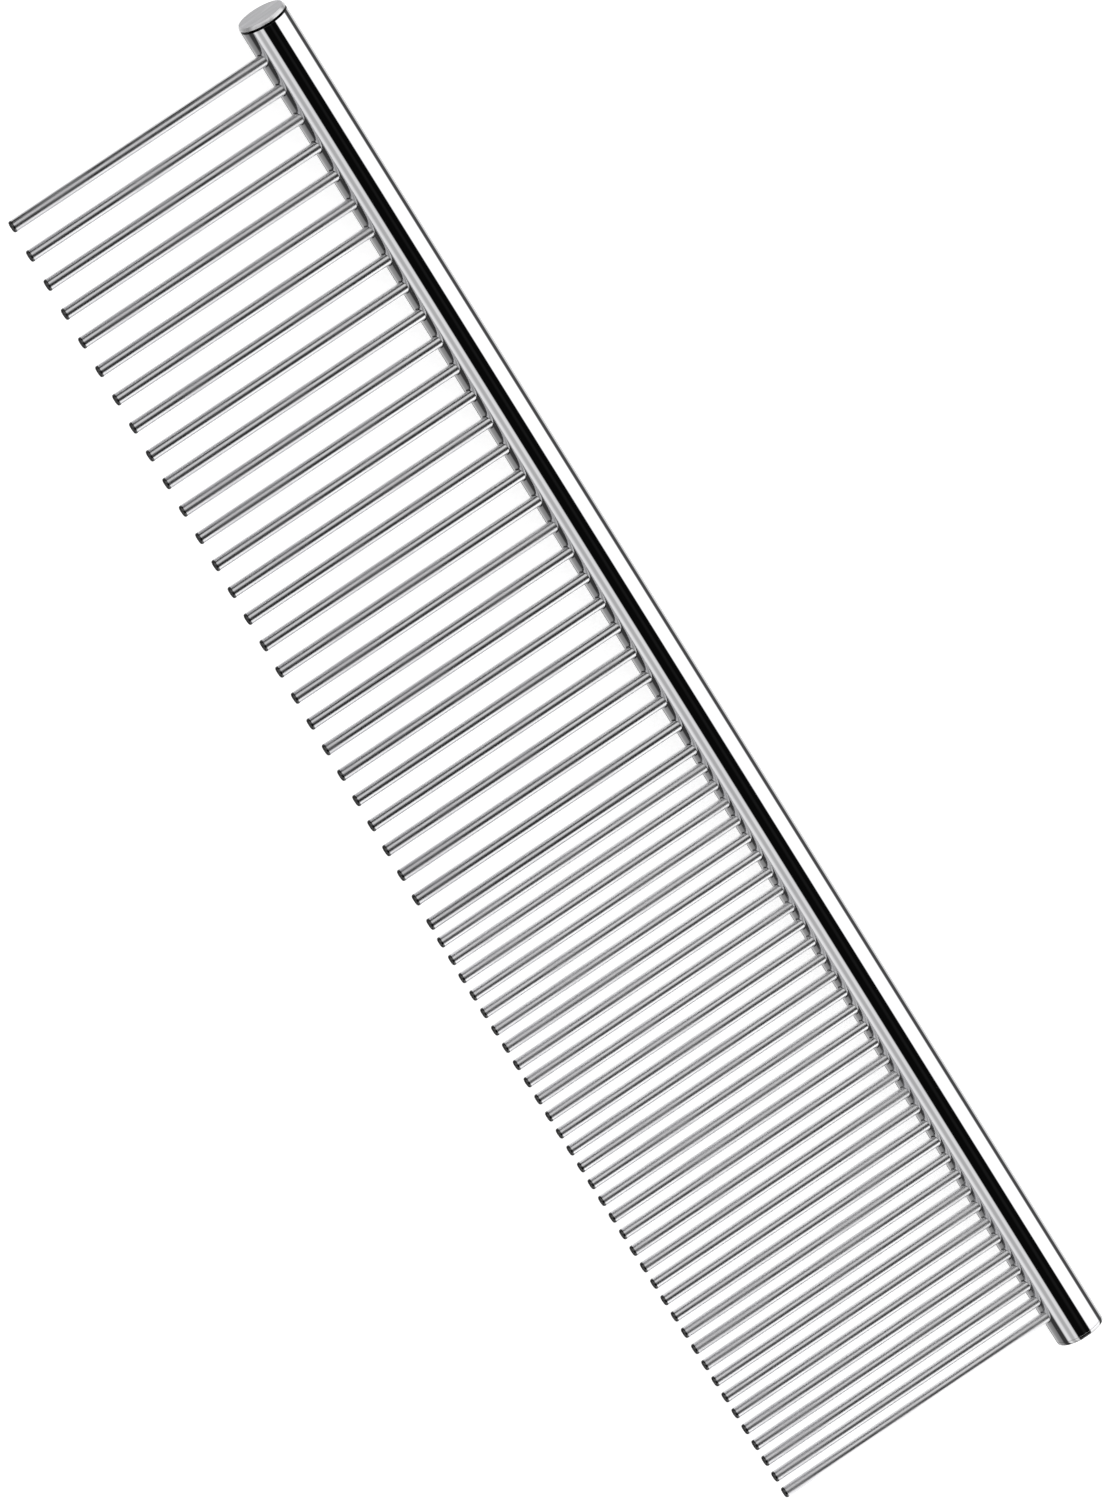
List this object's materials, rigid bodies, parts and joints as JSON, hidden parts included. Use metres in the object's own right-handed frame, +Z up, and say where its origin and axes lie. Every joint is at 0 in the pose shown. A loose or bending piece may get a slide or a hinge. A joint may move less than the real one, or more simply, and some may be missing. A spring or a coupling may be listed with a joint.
{
  "type": "grooming comb",
  "caption": "Straight steel pet grooming comb: an oval polished tube spine with flat end caps and one row of round pins, spaced wide at one end and close at the other.",
  "frame": {"origin": "middle of the flat face of the end cap at the coarse end", "axes": "+X along the spine from the coarse end to the fine end, the pins point to -Y, +Z is up with the comb lying flat"},
  "size_m": [0.19, 0.0437, 0.0076],
  "materials": {
    "spine_steel": "mirror polished",
    "cap_steel": "polished rim with a satin face",
    "coarse_pin_steel": "polished",
    "fine_pin_steel": "polished",
    "core_steel": "drawn"
  },
  "bodies": {
    "root": {"coarse_tooth_01": "coarse_pin_steel", "coarse_tooth_02": "coarse_pin_steel", "coarse_tooth_03": "coarse_pin_steel", "coarse_tooth_04": "coarse_pin_steel", "coarse_tooth_05": "coarse_pin_steel", "coarse_tooth_06": "coarse_pin_steel", "coarse_tooth_07": "coarse_pin_steel", "coarse_tooth_08": "coarse_pin_steel", "coarse_tooth_09": "coarse_pin_steel", "coarse_tooth_10": "coarse_pin_steel", "coarse_tooth_11": "coarse_pin_steel", "coarse_tooth_12": "coarse_pin_steel", "coarse_tooth_13": "coarse_pin_steel", "coarse_tooth_14": "coarse_pin_steel", "coarse_tooth_15": "coarse_pin_steel", "coarse_tooth_16": "coarse_pin_steel", "coarse_tooth_17": "coarse_pin_steel", "coarse_tooth_18": "coarse_pin_steel", "coarse_tooth_19": "coarse_pin_steel", "coarse_tooth_20": "coarse_pin_steel", "coarse_tooth_21": "coarse_pin_steel", "coarse_tooth_22": "coarse_pin_steel", "coarse_tooth_23": "coarse_pin_steel", "coarse_tooth_24": "coarse_pin_steel", "coarse_tooth_25": "coarse_pin_steel", "coarse_tooth_26": "coarse_pin_steel", "coarse_tooth_27": "coarse_pin_steel", "core_bar": "core_steel", "end_cap_coarse": "cap_steel", "end_cap_fine": "cap_steel", "fine_teeth_01_02": "fine_pin_steel", "fine_teeth_03_04": "fine_pin_steel", "fine_teeth_05_06": "fine_pin_steel", "fine_teeth_07_08": "fine_pin_steel", "fine_teeth_09_10": "fine_pin_steel", "fine_teeth_11_12": "fine_pin_steel", "fine_teeth_13_14": "fine_pin_steel", "fine_teeth_15_16": "fine_pin_steel", "fine_teeth_17_18": "fine_pin_steel", "fine_teeth_19_20": "fine_pin_steel", "fine_teeth_21_22": "fine_pin_steel", "fine_teeth_23_24": "fine_pin_steel", "fine_teeth_25_26": "fine_pin_steel", "fine_teeth_27_28": "fine_pin_steel", "fine_teeth_29_30": "fine_pin_steel", "fine_teeth_31_32": "fine_pin_steel", "fine_teeth_33_34": "fine_pin_steel", "spine_tube": "spine_steel"}
  },
  "joints": []
}
